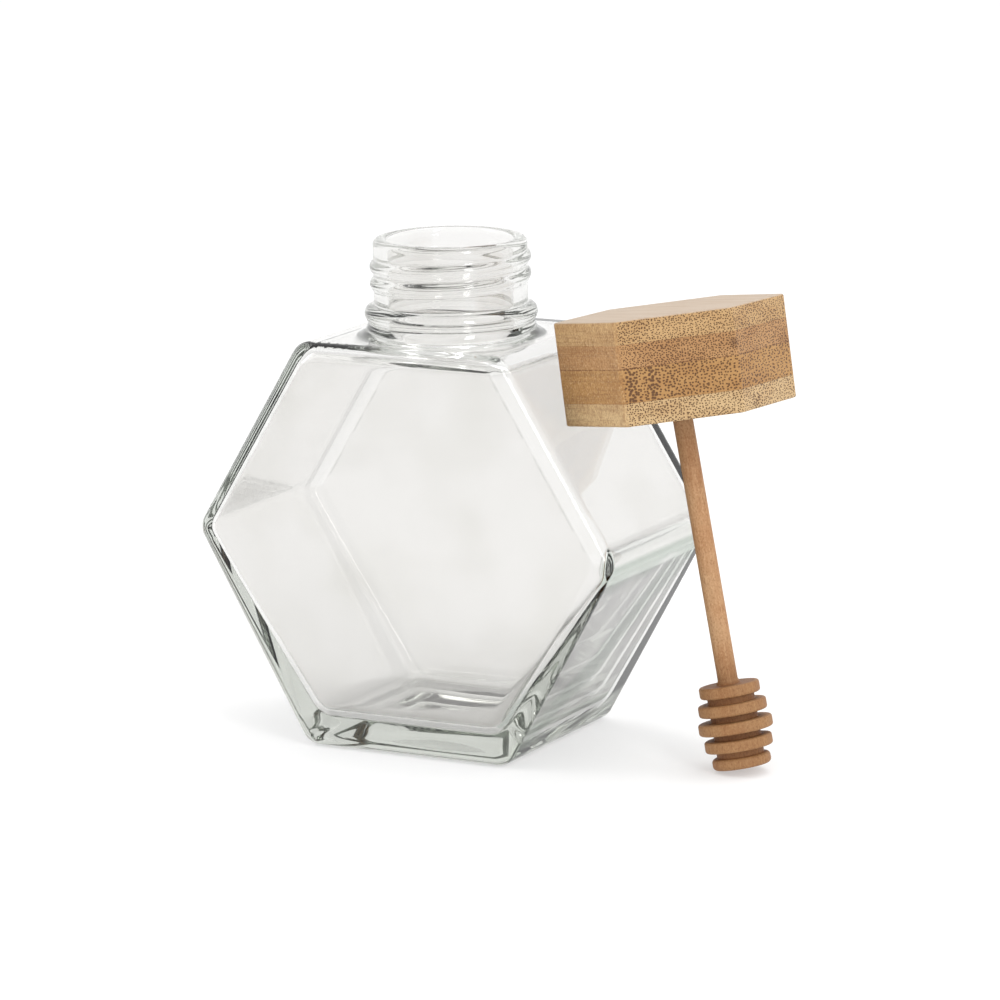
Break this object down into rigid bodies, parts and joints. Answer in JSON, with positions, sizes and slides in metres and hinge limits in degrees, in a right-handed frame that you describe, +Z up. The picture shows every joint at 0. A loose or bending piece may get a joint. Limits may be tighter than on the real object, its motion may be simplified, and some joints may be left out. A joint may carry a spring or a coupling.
{
  "type": "honey pot",
  "caption": "Open hexagonal glass honey jar with a screw neck; its bamboo lid with a ribbed wooden dipper leans against the side.",
  "frame": {"origin": "centre of the jar's flat base, on the surface it stands on", "axes": "+Z up through the neck, -Y out of the jar's flat six-sided front, +X towards the side where the lid leans"},
  "size_m": [0.1368, 0.055, 0.1172],
  "materials": {
    "glass": "clear pressed glass with a faint green tint",
    "bamboo": "sanded laminated bamboo, matt",
    "dipper_wood": "turned light hardwood, matt"
  },
  "bodies": {
    "root": {"jar": "glass", "lid": "bamboo", "dipper": "dipper_wood"}
  },
  "joints": []
}
